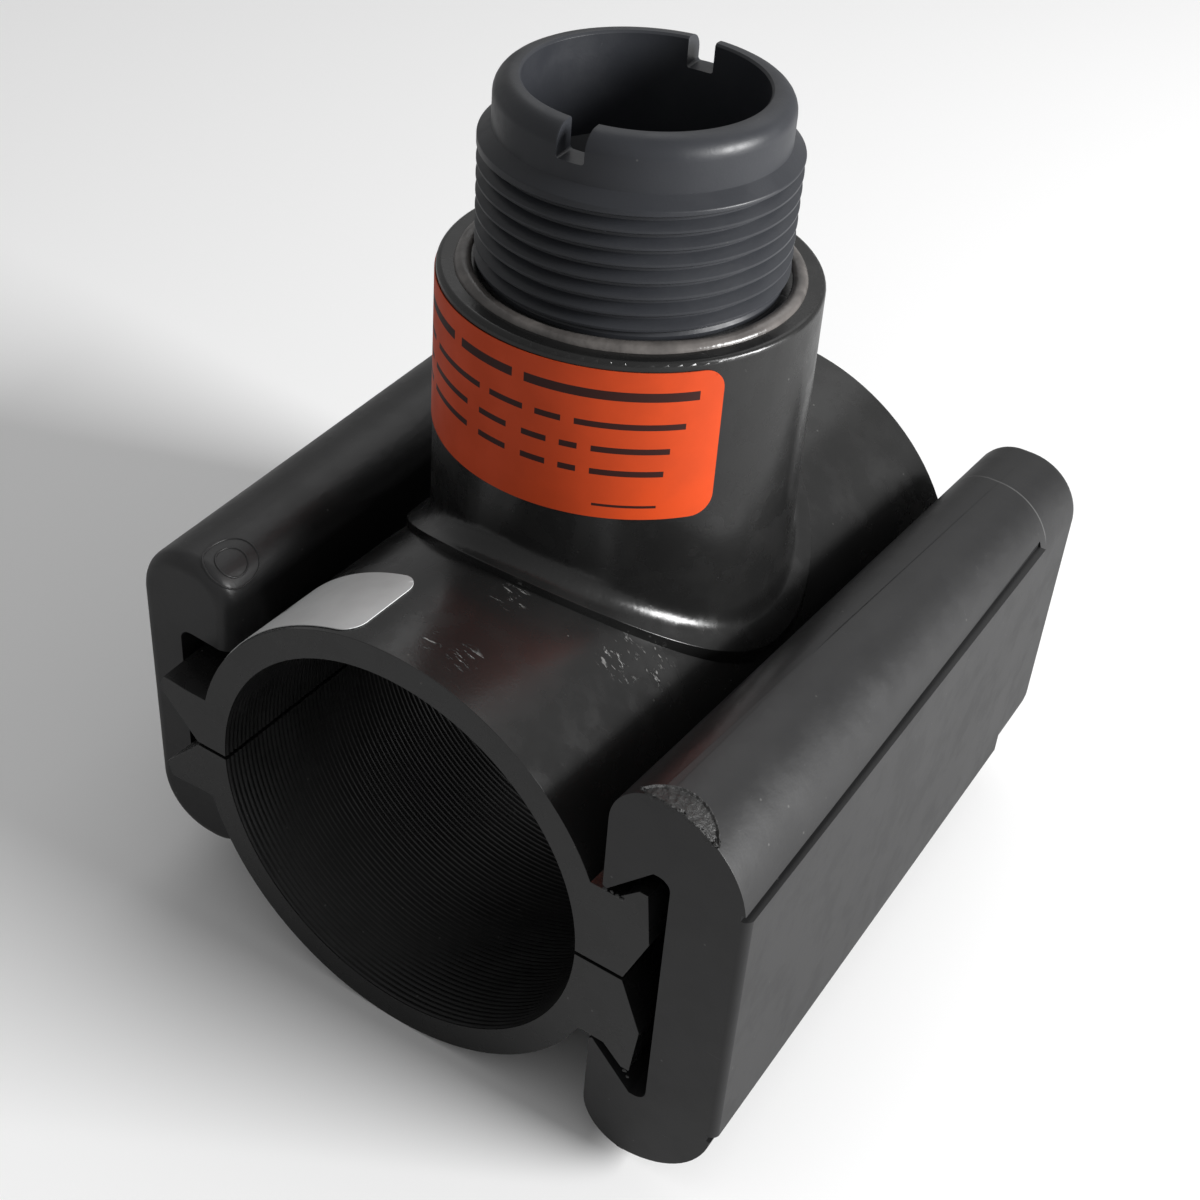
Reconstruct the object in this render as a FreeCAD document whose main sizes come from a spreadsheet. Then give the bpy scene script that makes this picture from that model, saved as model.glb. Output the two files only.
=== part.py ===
import FreeCAD, Part
import math
import os
import re
import Sketcher

# Saddle clamp for a 2 inch plastic pipe: two half shells with a branch tower, a threaded sensor
# fitting glued into the tower, and two tapered C bars that slide along the side rails and hold
# the halves together.
# Millimetres. +Z up along the tower, +Y along the pipe, origin where the two axes cross.
# The right rail is wide at the front (-Y). The left rail is the same, turned half round.

doc = FreeCAD.newDocument("SaddleClamp")
V = FreeCAD.Vector
Rotation = FreeCAD.Rotation
X_AXIS, Y_AXIS, Z_AXIS = V(1, 0, 0), V(0, 1, 0), V(0, 0, 1)

SIZES = {
    # Half shells
    "pipe_radius": 30.15,          # 2 inch pipe, 60.3 outside
    "shell_wall": 4.4,
    "saddle_length": 101.6,
    "split_gap": 0.6,
    # Side rails, at their wide and narrow ends
    "rail_reach_wide": 6.3,        # outside of the rail beyond the shell
    "rail_reach_narrow": 7.6,
    "rail_height_wide": 13.9,      # seat for the bar's lip, above the split
    "rail_height_narrow": 9.2,
    "hook_rise_wide": 2.8,         # outer edge of the rail above its seat
    "hook_rise_narrow": 0.3,
    "hook_lean": 0.9,
    "hook_flat": 1.3,
    "hook_flank": 3.0,
    "split_face_wide": 3.0,        # flat of the split face beyond the shell
    "split_face_narrow": 0.9,
    "rail_bevel_wide": 8.4,        # height where the bevel from the split face ends
    "rail_bevel_narrow": 7.2,
    # Wedge bars, at their wide and narrow ends
    "wedge_length": 110.0,
    "lip_clearance": 0.3,          # lip over its seat at the wide end
    "lip_setback": 1.15,           # lip's inner side within the shell's outer radius
    "lip_drop": 0.7,               # lip lower at the narrow end
    "lip_bevel": 0.5,
    "lip_flank": 6.4,
    "channel_rise_wide": 6.6,      # channel's corner above the lip's tip
    "channel_rise_narrow": 0.4,
    "channel_clearance": 2.0,      # rail to web at the wide end
    "channel_round": 1.8,          # where the channel's roof meets the web
    "web_wide": 10.5,
    "web_narrow": 7.6,
    "cap_wide": 12.4,              # top of the bar above its channel
    "cap_narrow": 12.7,
    "outer_round_wide": 14.0,
    "outer_round_narrow": 9.0,
    "inner_round_wide": 7.0,
    "inner_round_narrow": 6.5,
    "nose_round": 2.5,
    "panel_height": 41.0,
    "panel_end_margin": 16.0,      # plain stretch of the web at the narrow end
    "panel_rise": 0.5,
    "groove_width": 1.0,
    "groove_depth": 0.8,
    "left_wedge_shift": 14.0,      # left bar driven further home than the right one
    # Branch tower and its pad
    "tower_radius": 25.8,
    "tower_draft": 0.7,            # wider at the pipe axis than at the top
    "tower_top": 68.5,
    "tower_edge": 0.8,
    "pad_radius": 29.5,
    "pad_rise": 1.3,
    "pad_blend": 3.0,
    "socket_floor": 39.5,
    "branch_radius": 16.0,
    # Seal on the underside of the upper half
    "seal_radius": 22.0,
    "seal_width": 3.6,
    "seal_height": 1.8,
    "seal_sunk": 0.5,              # seal's face above the pipe
    "seal_side_gap": 0.15,
    # Sensor fitting
    "shank_radius": 20.2,
    "shank_gap": 0.1,
    "thread_radius": 20.9,         # crest of the thread
    "thread_start": 70.6,
    "thread_end": 86.0,
    "collar_radius": 19.1,
    "collar_foot": 87.4,
    "collar_edge": 2.6,
    "fitting_top": 94.0,
    "mouth_radius": 15.6,
    "mouth_depth": 14.0,
    "mouth_step": 3.0,
    "sensor_radius": 13.4,
    "notch_width": 3.8,
    "notch_depth": 4.1,
    "notch_turn_angle": 5.0,       # the glued fitting's key slots stand a little off the pipe's axis
    # Cement bead round the fitting
    "bead_reach": 2.9,
    "bead_height": 0.9,
    "bead_foot_rise": 0.5,         # bead's height where it leaves the shank and at its rim
    "bead_rim_width": 0.3,
    "bead_crown_width": 1.2,
    # Labels
    "label_thickness": 0.2,
    "label_foot": 45.6,
    "label_height": 21.6,
    "label_start_angle": -160.0,
    "label_sweep_angle": 130.0,
    "sticker_front": 0.8,          # behind the front face
    "sticker_length": 14.5,
    "sticker_start_angle": 101.0,
    "sticker_sweep_angle": 62.0,
    # How far cutting solids reach past the faces they cut
    "cut_margin": 5.0,
    # Sizes that follow from the ones above
    "half_length": "=saddle_length / 2",
    "half_gap": "=split_gap / 2",
    "shell_radius": "=pipe_radius + shell_wall",
    "wall_middle": "=pipe_radius + shell_wall / 2",
    "tip_wide": "=rail_height_wide + lip_clearance",
    "tip_narrow": "=tip_wide - lip_drop",
    "channel_top_wide": "=tip_wide + channel_rise_wide",
    "channel_top_narrow": "=tip_narrow + channel_rise_narrow",
    "cap_top_wide": "=channel_top_wide + cap_wide",
    "cap_top_narrow": "=channel_top_narrow + cap_narrow",
    "lip_side": "=shell_radius - lip_setback",
    "lip_corner": "=lip_side + lip_bevel",
    "channel_wall": "=shell_radius + rail_reach_wide + channel_clearance",
    "web_side_wide": "=channel_wall + web_wide",
    "web_side_narrow": "=channel_wall + web_narrow",
    "panel_half": "=panel_height / 2",
    "panel_length": "=wedge_length - panel_end_margin",
    "web_side_panel": "=web_side_wide - (web_wide - web_narrow) * panel_length / wedge_length",
    "split_reach": "=shell_radius + rail_reach_narrow + cut_margin",
    "pad_outer": "=shell_radius + pad_rise",
    "socket_radius": "=shank_radius + shank_gap",
    "seal_crown": "=pipe_radius + seal_sunk + seal_height",
    "seal_outside": "=seal_radius + seal_width / 2",
    "seal_inside": "=seal_radius - seal_width / 2",
    "collar_shoulder": "=fitting_top - collar_edge",
    "label_head": "=label_foot + label_height",
    "label_radius_foot": "=tower_radius + tower_draft * (1 - label_foot / tower_top)",
    "label_radius_head": "=tower_radius + tower_draft * (1 - label_head / tower_top)",
}

sheet = doc.addObject("Spreadsheet::Sheet", "Sizes")
for row, name in enumerate(SIZES, start=1):
    sheet.set(f"A{row}", name)
    sheet.set(f"B{row}", "0")
    sheet.setAlias(f"B{row}", name)
for row, value in enumerate(SIZES.values(), start=1):
    sheet.set(f"B{row}", str(value))
doc.recompute()


def size(name):
    return float(getattr(sheet, name))


def cells(expression):
    """The expression with each size name written as a cell of the sheet."""
    return re.sub("[a-z_]+", lambda word: "Sizes." + word[0] if word[0] in SIZES else word[0], expression)


def bind(obj, **expressions):
    """Tie properties to sizes; a double underscore stands for a dot."""
    for prop, expression in expressions.items():
        obj.setExpression(prop.replace("__", "."), cells(expression))
    return obj


def combine(kind, name, base, tool):
    obj = doc.addObject(kind, name)
    if kind == "Part::MultiFuse":
        obj.Shapes = [base, *tool]
    else:
        obj.Base, obj.Tool = base, tool
    return obj


def upright(name, radius, low, high):
    """Cylinder along Z between two heights."""
    obj = doc.addObject("Part::Cylinder", name)
    return bind(obj, Radius=radius, Height=f"({high}) - ({low})", Placement__Base__z=low)


def along_pipe(name, radius, front="-half_length", length="saddle_length"):
    """Cylinder along Y; its start angle runs from +X towards +Z."""
    obj = doc.addObject("Part::Cylinder", name)
    obj.Placement = FreeCAD.Placement(V(0, 0, 0), Rotation(X_AXIS, 90))
    return bind(obj, Radius=radius, Height=length, Placement__Base__y=f"({front}) + ({length})")


def mirrored(name, source, normal):
    obj = doc.addObject("Part::Mirroring", name)
    obj.Source, obj.Base, obj.Normal = source, V(0, 0, 0), normal
    return obj


def outline(body, name, corners, depth="0"):
    """Closed sketch in the XZ plane, depth towards -Y. Each corner is a pair of expressions;
    with a third item, the centre, the edge from it to the next corner is an arc."""
    plane = next(f for f in body.Origin.OriginFeatures if f.Role == "XZ_Plane")
    sketch = body.newObject("Sketcher::SketchObject", name)
    sketch.AttachmentSupport = [(plane, "")]
    sketch.MapMode = "FlatFace"
    bind(sketch, AttachmentOffset__Base__z=depth)
    place = lambda pair: V(*(float(sheet.evalExpression(cells(text))) for text in pair[:2]), 0)
    count = len(corners)
    for i, corner in enumerate(corners):
        start, end = place(corner), place(corners[(i + 1) % count])
        if len(corner) == 2:
            sketch.addGeometry(Part.LineSegment(start, end))
            continue
        centre = place(corner[2])
        angle = lambda point: math.atan2(point.y - centre.y, point.x - centre.x)
        clockwise = (start - centre).cross(end - centre).z < 0
        first, last = (angle(end), angle(start)) if clockwise else (angle(start), angle(end))
        circle = Part.Circle(centre, Z_AXIS, (start - centre).Length)
        sketch.addGeometry(Part.ArcOfCircle(circle, first, last))
    first_point, last_point = [], []
    for i, corner in enumerate(corners):
        # An arc runs anticlockwise, so on a clockwise outline its first corner is its end.
        runs_on = (sketch.Geometry[i].StartPoint - place(corner)).Length < 1e-6
        first_point.append(1 if runs_on else 2)
        last_point.append(2 if runs_on else 1)
    for i in range(count):
        nxt = (i + 1) % count
        joined = (i, last_point[i], nxt, first_point[nxt])
        sketch.addConstraint(Sketcher.Constraint("Coincident", *joined))
    for i, corner in enumerate(corners):
        start = place(corner)
        for axis, value, text in (("DistanceX", start.x, corner[0]), ("DistanceY", start.y, corner[1])):
            index = sketch.addConstraint(Sketcher.Constraint(axis, -1, 1, i, first_point[i], value))
            sketch.setExpression(f"Constraints[{index}]", cells(text))
        if len(corner) == 3:
            index = sketch.addConstraint(Sketcher.Constraint("DistanceX", -1, 1, i, 3, place(corner[2]).x))
            sketch.setExpression(f"Constraints[{index}]", cells(corner[2][0]))
    return sketch


def loft(body, name, kind, first, second):
    feature = body.newObject(f"PartDesign::{kind}Loft", name)
    feature.Profile, feature.Sections, feature.Ruled = first, [second], True
    return feature


def rail_section(end):
    """Upper right rail: split face, bevel, leaning outside, hook, flank and lip seat."""
    outside = f"shell_radius + rail_reach_{end}"
    height = f"rail_height_{end}"
    hook = f"{height} + hook_rise_{end}"
    return [("wall_middle", "half_gap"), (f"shell_radius + split_face_{end}", "half_gap"),
            (outside, f"rail_bevel_{end}"), (f"{outside} - hook_lean", hook),
            (f"{outside} - hook_lean - hook_flat", hook),
            (f"{outside} - hook_lean - hook_flat - hook_flank", height),
            (f"sqrt(wall_middle^2 - {height}^2)", height)]


def tapered_rail():
    body = doc.addObject("PartDesign::Body", "RailUpperRight")
    wide = outline(body, "RailWideEnd", rail_section("wide"), "half_length")
    narrow = outline(body, "RailNarrowEnd", rail_section("narrow"), "-half_length")
    loft(body, "RailLoft", "Additive", wide, narrow)
    return body


def wedge_section(end):
    """C section of a bar: lips that hook over both rails, channel, web and rounded caps."""
    tip, roof, top = f"tip_{end}", f"channel_top_{end}", f"cap_top_{end}"
    side, inner, outer = f"web_side_{end}", f"inner_round_{end}", f"outer_round_{end}"
    inner_x, outer_x = f"lip_side + {inner}", f"{side} - {outer}"
    shoulder, crown = f"{top} - {outer}", f"{top} - {inner}"
    low_tip, low_roof, low_top, low_shoulder, low_crown = (
        f"-({text})" for text in (tip, roof, top, shoulder, crown))
    lower = [("lip_corner", low_tip), ("lip_side", f"{low_tip} - lip_bevel"),
             ("lip_side", low_crown, (inner_x, low_crown)), (inner_x, low_top),
             (outer_x, low_top, (outer_x, low_shoulder)), (side, low_shoulder)]
    upper = [(side, shoulder, (outer_x, shoulder)), (outer_x, top),
             (inner_x, top, (inner_x, crown)), ("lip_side", crown),
             ("lip_side", f"{tip} + lip_bevel"), ("lip_corner", tip)]
    web_foot, bend = "channel_wall - channel_round", f"{roof} - channel_round"
    low_bend = f"-({bend})"
    channel = [("lip_corner + lip_flank", roof), (web_foot, roof, (web_foot, bend)),
               ("channel_wall", bend), ("channel_wall", low_bend, (web_foot, low_bend)),
               (web_foot, low_roof), ("lip_corner + lip_flank", low_roof)]
    return lower + upper + channel


def edges_where(shape, test):
    return [i for i, edge in enumerate(shape.Edges, start=1) if test(edge)]


def on_nose(edge):
    """Outer edges of a bar's narrow end: caps and web, not the lips' inner sides."""
    end = size("wedge_length") - size("half_length")
    box = edge.BoundBox
    outside = max(box.XMax - size("channel_wall"), box.ZMax - size("channel_top_narrow"),
                  -box.ZMin - size("channel_top_narrow")) > 1
    lip_side = box.XMax - size("lip_side") < 1e-4
    return abs(box.YMin - end) < 1e-4 and outside and not lip_side


def wedge_bar(name):
    """Tapered bar along Y, wide end flush with the front of the saddle."""
    body = doc.addObject("PartDesign::Body", name)
    far = "half_length - wedge_length"
    wide = outline(body, name + "WideEnd", wedge_section("wide"), "half_length")
    narrow = outline(body, name + "NarrowEnd", wedge_section("narrow"), far)
    loft(body, name + "Loft", "Additive", wide, narrow)
    box = lambda x0, x1, z0, z1: [(x0, z0), (x1, z0), (x1, z1), (x0, z1)]
    ends = (("web_side_wide", "half_length"), ("web_side_panel", "half_length - panel_length"))
    panel = [outline(body, f"{name}Panel{i}", box(f"{face} - 2 * panel_rise", f"{face} + panel_rise",
                                                  "-panel_half", "panel_half"), depth)
             for i, (face, depth) in enumerate(ends)]
    loft(body, name + "Panel", "Additive", *panel)
    for part, z0, z1 in (("Upper", "panel_half", "panel_half + groove_width"),
                         ("Lower", "-panel_half - groove_width", "-panel_half")):
        groove = [outline(body, f"{name}{part}Groove{i}",
                          box(f"{face} - groove_depth", f"{face} + 2 * groove_depth", z0, z1), depth)
                  for i, (face, depth) in enumerate(ends)]
        loft(body, f"{name}{part}Groove", "Subtractive", *groove)
    doc.recompute()
    blunt = body.Tip
    nose = body.newObject("PartDesign::Fillet", name + "Nose")
    nose.Base = (blunt, [f"Edge{i}" for i in edges_where(blunt.Shape, on_nose)])
    bind(nose, Radius="nose_round")
    return body


def half_space(name, upper):
    """Box over the other half's space, with half of the split gap."""
    obj = doc.addObject("Part::Box", name)
    bind(obj, Length="2 * split_reach", Width="saddle_length + 2 * cut_margin", Height="split_reach",
         Placement__Base__x="-split_reach", Placement__Base__y="-half_length - cut_margin")
    return bind(obj, Placement__Base__z="half_gap - split_reach" if upper else "-half_gap")


def on_pad_blend(edge):
    """Where the tower's flank meets the crown of its pad."""
    flank = lambda z: size("tower_radius") + size("tower_draft") * (1 - z / size("tower_top"))
    return all(abs(math.hypot(q.x, q.y) - flank(q.z)) < 1e-3
               and abs(math.hypot(q.x, q.z) - size("pad_outer")) < 1e-3 for q in edge.discretize(7))


def on_tower_rim(edge):
    return all(abs(q.z - size("tower_top")) < 1e-4 for q in edge.discretize(5))


PAST_BOTH_FACES = ("-half_length - cut_margin", "saddle_length + 2 * cut_margin")

# Rails: one tapered rail, turned half round for the left side and mirrored for the lower half.
rail_right = tapered_rail()
rail_left = mirrored("RailUpperLeft", mirrored("RailUpperSwap", rail_right, X_AXIS), Y_AXIS)
rail_low_right = mirrored("RailLowerRight", rail_right, Z_AXIS)
rail_low_left = mirrored("RailLowerLeft", rail_left, Z_AXIS)

# Tower and its saddle shaped pad, blended together before they join the shell.
tower = doc.addObject("Part::Cone", "TowerCone")
bind(tower, Radius1="tower_radius + tower_draft", Radius2="tower_radius", Height="tower_top")
pad = combine("Part::Common", "Pad", upright("PadRound", "pad_radius", "0", "tower_top"),
              along_pipe("PadSaddle", "pad_outer", "-tower_top", "2 * tower_top"))
tower_pad = combine("Part::Fuse", "TowerAndPad", tower, pad)
doc.recompute()
blended = doc.addObject("Part::Fillet", "TowerBlend")
blended.Base = tower_pad
blended.Edges = [(i, size(radius), size(radius)) for test, radius in ((on_pad_blend, "pad_blend"),
                 (on_tower_rim, "tower_edge")) for i in edges_where(tower_pad.Shape, test)]

# Seal: a flat rubber ring bent to the bore, in a groove round the branch hole.
seal_band = combine("Part::Cut", "SealBand",
                    upright("SealBandOuter", "seal_outside", "half_gap", "socket_floor"),
                    upright("SealBandInner", "seal_inside", "half_gap", "socket_floor"))
seal_groove = combine("Part::Common", "SealGroove", seal_band, along_pipe("SealCrown", "seal_crown"))
seal_room = combine("Part::Cut", "SealRoom",
                    upright("SealOuter", "seal_outside - seal_side_gap", "half_gap", "socket_floor"),
                    upright("SealInner", "seal_inside + seal_side_gap", "half_gap", "socket_floor"))
seal_layer = combine("Part::Cut", "SealLayer", along_pipe("SealTop", "seal_crown"),
                     along_pipe("SealFace", "pipe_radius + seal_sunk"))
branch_seal = combine("Part::Common", "BranchSeal", seal_room, seal_layer)

# Upper half: shell, rails, tower; cut by the pipe bore, the socket, the branch hole and the groove.
upper_solid = combine("Part::MultiFuse", "UpperSolid", along_pipe("UpperShell", "shell_radius"),
                      [blended, rail_right, rail_left])
upper_holes = combine("Part::MultiFuse", "UpperHoles",
                      along_pipe("UpperBore", "pipe_radius", *PAST_BOTH_FACES),
                      [half_space("UpperSplit", True), seal_groove,
                       upright("Socket", "socket_radius", "socket_floor", "tower_top + cut_margin"),
                       upright("BranchHole", "branch_radius", "0", "tower_top")])
saddle_upper = combine("Part::Cut", "SaddleUpper", upper_solid, upper_holes)

# Lower half: shell and mirrored rails.
lower_solid = combine("Part::MultiFuse", "LowerSolid", along_pipe("LowerShell", "shell_radius"),
                      [rail_low_right, rail_low_left])
lower_holes = combine("Part::MultiFuse", "LowerHoles",
                      along_pipe("LowerBore", "pipe_radius", *PAST_BOTH_FACES),
                      [half_space("LowerSplit", False)])
saddle_lower = combine("Part::Cut", "SaddleLower", lower_solid, lower_holes)

# Bars: the same moulding on both sides, the left one turned half round and pushed further on.
wedge_right = wedge_bar("RightWedge")
wedge_left = wedge_bar("LeftWedge")
wedge_left.Placement = FreeCAD.Placement(V(0, 0, 0), Rotation(Z_AXIS, 180))
bind(wedge_left, Placement__Base__y="left_wedge_shift")

# Sensor fitting: glued shank, thread zone, collar with two key slots, and a stepped bore.
fitting = doc.addObject("PartDesign::Body", "Fitting")
profile = outline(fitting, "FittingProfile", [
    ("sensor_radius", "socket_floor"), ("shank_radius", "socket_floor"),
    ("shank_radius", "thread_start"), ("thread_radius", "thread_start"),
    ("thread_radius", "thread_end"), ("collar_radius", "collar_foot"),
    ("collar_radius", "collar_shoulder", ("collar_radius - collar_edge", "collar_shoulder")),
    ("collar_radius - collar_edge", "fitting_top"), ("mouth_radius", "fitting_top"),
    ("mouth_radius", "fitting_top - mouth_depth"),
    ("sensor_radius", "fitting_top - mouth_depth - mouth_step")])
turned = fitting.newObject("PartDesign::Revolution", "FittingTurned")
turned.Profile, turned.ReferenceAxis, turned.Angle = profile, (profile, ["V_Axis"]), 360
notch = outline(fitting, "NotchProfile", [
    ("-notch_width / 2", "fitting_top - notch_depth"), ("notch_width / 2", "fitting_top - notch_depth"),
    ("notch_width / 2", "fitting_top + cut_margin"), ("-notch_width / 2", "fitting_top + cut_margin")])
slots = fitting.newObject("PartDesign::Pocket", "KeySlots")
slots.Profile, slots.Midplane = notch, True
bind(slots, Length="4 * collar_radius")
fitting.Placement = FreeCAD.Placement(V(0, 0, 0), Rotation(Z_AXIS, size("notch_turn_angle")))

# Cement squeezed out round the fitting's foot.
bead = doc.addObject("PartDesign::Body", "Bead")
bead_profile = outline(bead, "BeadProfile", [
    ("shank_radius", "tower_top"), ("shank_radius + bead_reach", "tower_top"),
    ("shank_radius + bead_reach - bead_rim_width", "tower_top + bead_foot_rise"),
    ("shank_radius + bead_reach / 2 + bead_crown_width / 2", "tower_top + bead_height"),
    ("shank_radius + bead_reach / 2 - bead_crown_width / 2", "tower_top + bead_height"),
    ("shank_radius", "tower_top + bead_foot_rise")])
bead_turned = bead.newObject("PartDesign::Revolution", "BeadTurned")
bead_turned.Profile, bead_turned.ReferenceAxis = bead_profile, (bead_profile, ["V_Axis"])
bead_turned.Angle = 360


def label_cone(name, extra, sweep):
    obj = doc.addObject("Part::Cone", name)
    obj.Placement = FreeCAD.Placement(V(0, 0, 0), Rotation(Z_AXIS, size("label_start_angle")))
    return bind(obj, Radius1=f"label_radius_foot + {extra}", Radius2=f"label_radius_head + {extra}",
                Height="label_height", Angle=sweep, Placement__Base__z="label_foot")


# Labels: thin skins on the tower's flank and on the shell.
instruction_label = combine("Part::Cut", "InstructionLabel",
                            label_cone("LabelOuter", "label_thickness", "label_sweep_angle"),
                            label_cone("LabelInner", "0", "360"))
sticker_place = ("-half_length + sticker_front", "sticker_length")
sticker_outer = along_pipe("StickerOuter", "shell_radius + label_thickness", *sticker_place)
turn_to_start = FreeCAD.Placement(V(0, 0, 0), Rotation(Z_AXIS, size("sticker_start_angle")))
sticker_outer.Placement = sticker_outer.Placement.multiply(turn_to_start)
bind(sticker_outer, Angle="sticker_sweep_angle")
size_sticker = combine("Part::Cut", "SizeSticker", sticker_outer,
                       along_pipe("StickerInner", "shell_radius", *sticker_place))

PIECES = {
    "saddle_upper": saddle_upper,
    "saddle_lower": saddle_lower,
    "wedge_bar_right": wedge_right,
    "wedge_bar_left": wedge_left,
    "sensor_fitting": fitting,
    "cement_bead": bead,
    "branch_seal": branch_seal,
    "instruction_label": instruction_label,
    "size_sticker": size_sticker,
}
for node, piece in PIECES.items():
    piece.Label = node
doc.recompute()

failed = [obj.Name for obj in doc.Objects if {"Invalid", "Error"} & set(obj.State)]
failed += [node for node, piece in PIECES.items() if piece.Shape.isNull() or not piece.Shape.isValid()
           or len(piece.Shape.Solids) != 1]
if failed:
    raise RuntimeError("not built: " + ", ".join(failed))
os.makedirs("parts", exist_ok=True)
for node, piece in PIECES.items():
    piece.Shape.exportStep(f"parts/{node}.step")
    box = piece.Shape.optimalBoundingBox()
    limits = (box.XMin, box.XMax, box.YMin, box.YMax, box.ZMin, box.ZMax)
    print(node, round(piece.Shape.Volume), [round(v, 2) for v in limits])
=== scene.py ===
import math

import bmesh
import bpy
from mathutils import Matrix, Vector


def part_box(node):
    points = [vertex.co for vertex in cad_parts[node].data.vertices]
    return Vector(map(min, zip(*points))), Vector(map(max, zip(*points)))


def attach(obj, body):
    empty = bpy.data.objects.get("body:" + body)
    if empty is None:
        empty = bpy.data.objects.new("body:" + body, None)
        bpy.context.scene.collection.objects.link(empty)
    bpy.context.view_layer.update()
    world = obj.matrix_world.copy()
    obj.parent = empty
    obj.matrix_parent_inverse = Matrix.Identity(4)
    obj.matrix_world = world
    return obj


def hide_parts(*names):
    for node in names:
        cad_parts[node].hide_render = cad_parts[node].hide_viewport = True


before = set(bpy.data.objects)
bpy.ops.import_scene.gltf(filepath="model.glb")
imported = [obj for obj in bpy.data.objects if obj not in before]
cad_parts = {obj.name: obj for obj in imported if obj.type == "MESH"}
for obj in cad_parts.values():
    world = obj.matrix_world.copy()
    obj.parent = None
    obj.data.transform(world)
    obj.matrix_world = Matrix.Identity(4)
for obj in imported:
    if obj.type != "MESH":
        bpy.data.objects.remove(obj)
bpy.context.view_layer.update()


# Camera: a little above the saddle, turned towards its front and right bar, and rolled a few
# degrees so that the tower leans as it does in the picture.
MM = 0.001


def aim_camera(turn, height, roll, distance, side, rise, focal, frame_px=1200, film=36.0,
               near=0.01):
    """Camera that looks at the saddle's middle; side and rise move it in its own plane."""
    turn, height, roll = (math.radians(angle) for angle in (turn, height, roll))
    back = Vector((math.sin(turn) * math.cos(height), -math.cos(turn) * math.cos(height),
                   math.sin(height)))
    level = Vector((math.cos(turn), math.sin(turn), 0))
    upward = back.cross(level)
    right = level * math.cos(roll) + upward * math.sin(roll)
    top = upward * math.cos(roll) - level * math.sin(roll)
    place = (right * side + top * rise + back * distance) * MM
    bpy.ops.object.camera_add()
    camera = bpy.context.object
    facing = Matrix((right, top, back)).transposed().to_4x4()
    camera.matrix_world = Matrix.Translation(place) @ facing
    camera.data.sensor_width = film
    camera.data.lens = focal / frame_px * film
    camera.data.clip_start = near
    return camera


bpy.context.scene.camera = aim_camera(turn=31.02, height=37.58, roll=4.56, distance=290.5,
                                      side=0.11, rise=9.67, focal=1884.8)
bpy.context.scene.view_settings.view_transform = "Standard"


# Lights: a broad soft box at the right, a weak one above the back and a dim pale room, so that the
# right side is bright and the front stays dark.
def soft_box(name, place, aim, size, power):
    """Rectangular lamp; place, aim and size are in metres."""
    bpy.ops.object.light_add(type="AREA", location=place)
    lamp = bpy.context.object
    lamp.name = name
    lamp.rotation_euler = (Vector(aim) - Vector(place)).to_track_quat("-Z", "Y").to_euler()
    lamp.data.shape = "RECTANGLE"
    lamp.data.size, lamp.data.size_y = size
    lamp.data.energy = power


soft_box("right_light", place=(0.94, 0.20, 0.36), aim=(0.05, 0, 0), size=(0.45, 0.35), power=19)
soft_box("back_light", place=(-0.15, 0.55, 0.75), aim=(0, 0, 0.03), size=(0.9, 0.6), power=1.3)
room_light, backdrop_light = 0.35, 1.0
room = bpy.data.worlds.new("pale_room")
room.use_nodes = True
room_nodes = room.node_tree.nodes
room_nodes["Background"].inputs["Color"].default_value = (1, 1, 1, 1)
sight = room_nodes.new("ShaderNodeLightPath")
strength = room_nodes.new("ShaderNodeMapRange")
strength.inputs["To Min"].default_value = room_light
strength.inputs["To Max"].default_value = backdrop_light
room.node_tree.links.new(sight.outputs["Is Camera Ray"], strength.inputs["Value"])
room.node_tree.links.new(strength.outputs["Result"], room_nodes["Background"].inputs["Strength"])
bpy.context.scene.world = room


# Floor: a plain pale sheet that the lower shell stands on.
def deselect_all():
    if bpy.context.object and bpy.context.object.mode != "OBJECT":
        bpy.ops.object.mode_set(mode="OBJECT")
    bpy.ops.object.select_all(action="DESELECT")


def new_material(name):
    material = bpy.data.materials.new(name)
    material.use_nodes = True
    return material, material.node_tree, material.node_tree.nodes["Principled BSDF"]


def fill(tree, socket, value):
    """Links a socket to another one, or gives it a value of its own."""
    if isinstance(value, bpy.types.NodeSocket):
        tree.links.new(value, socket)
    else:
        socket.default_value = value


def mix_colours(tree, share, first, second):
    """Colour that goes from the first to the second with share; each is (r, g, b) or a socket."""
    node = tree.nodes.new("ShaderNodeMix")
    node.data_type = "RGBA"
    factor, start, end, result = node.inputs[0], node.inputs[6], node.inputs[7], node.outputs[2]
    fill(tree, factor, share)
    for socket, colour in ((start, first), (end, second)):
        fill(tree, socket, (*colour, 1) if isinstance(colour, tuple) else colour)
    return result


floor_size, floor_roughness = 8, 0.9
in_reflections, in_view = (0.5, 0.5, 0.5), (0.93, 0.93, 0.93)
deselect_all()
bpy.ops.mesh.primitive_plane_add(size=floor_size, location=(0, 0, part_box("saddle_lower")[0].z))
floor = bpy.context.object
floor.name = "floor"
pale, tree, shader = new_material("pale_floor")
seen = tree.nodes.new("ShaderNodeLightPath")
tone = mix_colours(tree, seen.outputs["Is Camera Ray"], in_reflections, in_view)
tree.links.new(tone, shader.inputs["Base Color"])
shader.inputs["Roughness"].default_value = floor_roughness
floor.data.materials.append(pale)


# Upper and lower half shell: injection moulded charcoal plastic, satin on the outside, with crisp
# moulded edges that are only just broken. The upper half carries the tower and its pad.
def add(tree, kind, **values):
    """A node with some of its sockets filled in."""
    node = tree.nodes.new("ShaderNode" + kind)
    for name, value in values.items():
        fill(tree, node.inputs[name], value)
    return node


def math_node(tree, operation, *values):
    node = tree.nodes.new("ShaderNodeMath")
    node.operation = operation
    for socket, value in zip(node.inputs, values):
        fill(tree, socket, value)
    return node.outputs[0]


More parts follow.
